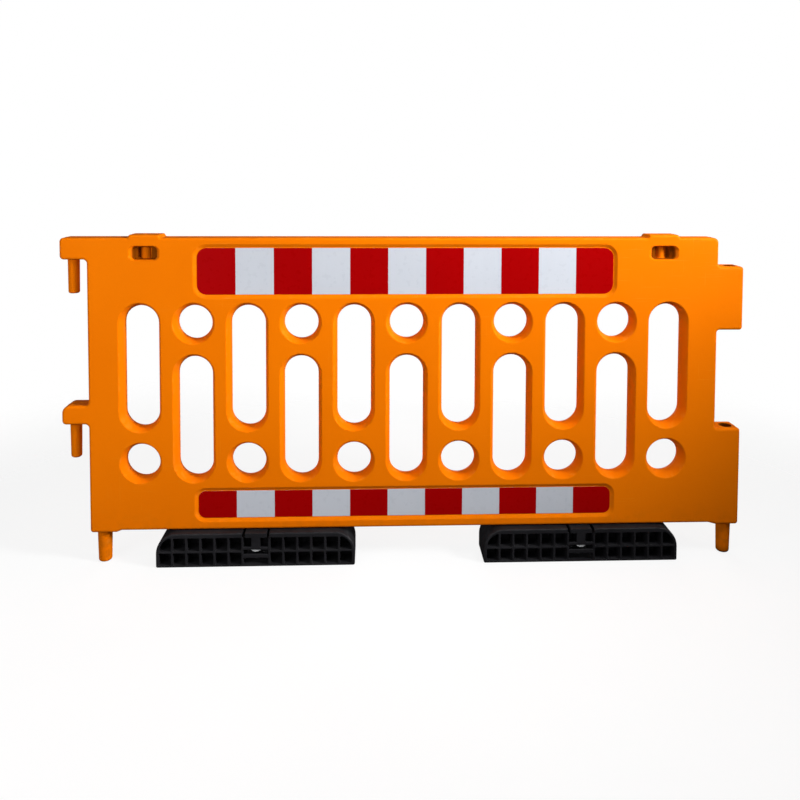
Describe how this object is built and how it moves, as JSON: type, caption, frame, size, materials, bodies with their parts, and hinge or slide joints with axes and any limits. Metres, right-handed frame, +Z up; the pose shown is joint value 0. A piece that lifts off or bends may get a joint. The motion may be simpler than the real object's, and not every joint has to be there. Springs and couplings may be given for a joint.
{
  "type": "traffic barrier",
  "caption": "Hollow moulded road-works barrier panel with slotted windows, red and white reflective strips, hook-on link pins and sockets, and swivelling feet.",
  "frame": {"origin": "on the ground, midway between the ends and between the faces", "axes": "+X along the panel from the pin end to the socket end, +Y from the front face to the rear face, +Z up"},
  "size_m": [2.062, 0.114, 1],
  "materials": {
    "panel_hdpe": "satin moulded orange polyethylene",
    "film_white": "satin white retroreflective film",
    "film_red": "red retroreflective film",
    "foot_plastic": "satin black recycled plastic",
    "nylon": "natural nylon",
    "zinc_steel": "zinc plated",
    "brass": "turned brass"
  },
  "bodies": {
    "panel": {"panel_body": "panel_hdpe", "film_front_upper": "film_white", "film_front_lower": "film_white", "film_rear_upper": "film_white", "film_rear_lower": "film_white", "red_block_front_upper_1": "film_red", "red_block_front_upper_2": "film_red", "red_block_front_upper_3": "film_red", "red_block_front_upper_4": "film_red", "red_block_front_upper_5": "film_red", "red_block_front_upper_6": "film_red", "red_block_front_lower_1": "film_red", "red_block_front_lower_2": "film_red", "red_block_front_lower_3": "film_red", "red_block_front_lower_4": "film_red", "red_block_front_lower_5": "film_red", "red_block_front_lower_6": "film_red", "red_block_rear_upper_1": "film_red", "red_block_rear_upper_2": "film_red", "red_block_rear_upper_3": "film_red", "red_block_rear_upper_4": "film_red", "red_block_rear_upper_5": "film_red", "red_block_rear_upper_6": "film_red", "red_block_rear_lower_1": "film_red", "red_block_rear_lower_2": "film_red", "red_block_rear_lower_3": "film_red", "red_block_rear_lower_4": "film_red", "red_block_rear_lower_5": "film_red", "red_block_rear_lower_6": "film_red", "pivot_bolt_left": "zinc_steel", "pivot_washer_left": "zinc_steel", "thrust_washer_left": "nylon", "pivot_insert_left": "brass", "pivot_bolt_right": "zinc_steel", "pivot_washer_right": "zinc_steel", "thrust_washer_right": "nylon", "pivot_insert_right": "brass"},
    "foot_left": {"foot_left": "foot_plastic", "pivot_bush_left": "nylon"},
    "foot_right": {"foot_right": "foot_plastic", "pivot_bush_right": "nylon"}
  },
  "joints": [
    {"name": "foot_left_swivel", "type": "hinge", "parent": "panel", "child": "foot_left", "pos_m": [-0.454, 0, 0.1], "axis": [0, 0, 1], "continuous": true},
    {"name": "foot_right_swivel", "type": "hinge", "parent": "panel", "child": "foot_right", "pos_m": [0.534, 0, 0.1], "axis": [0, 0, 1], "continuous": true}
  ]
}
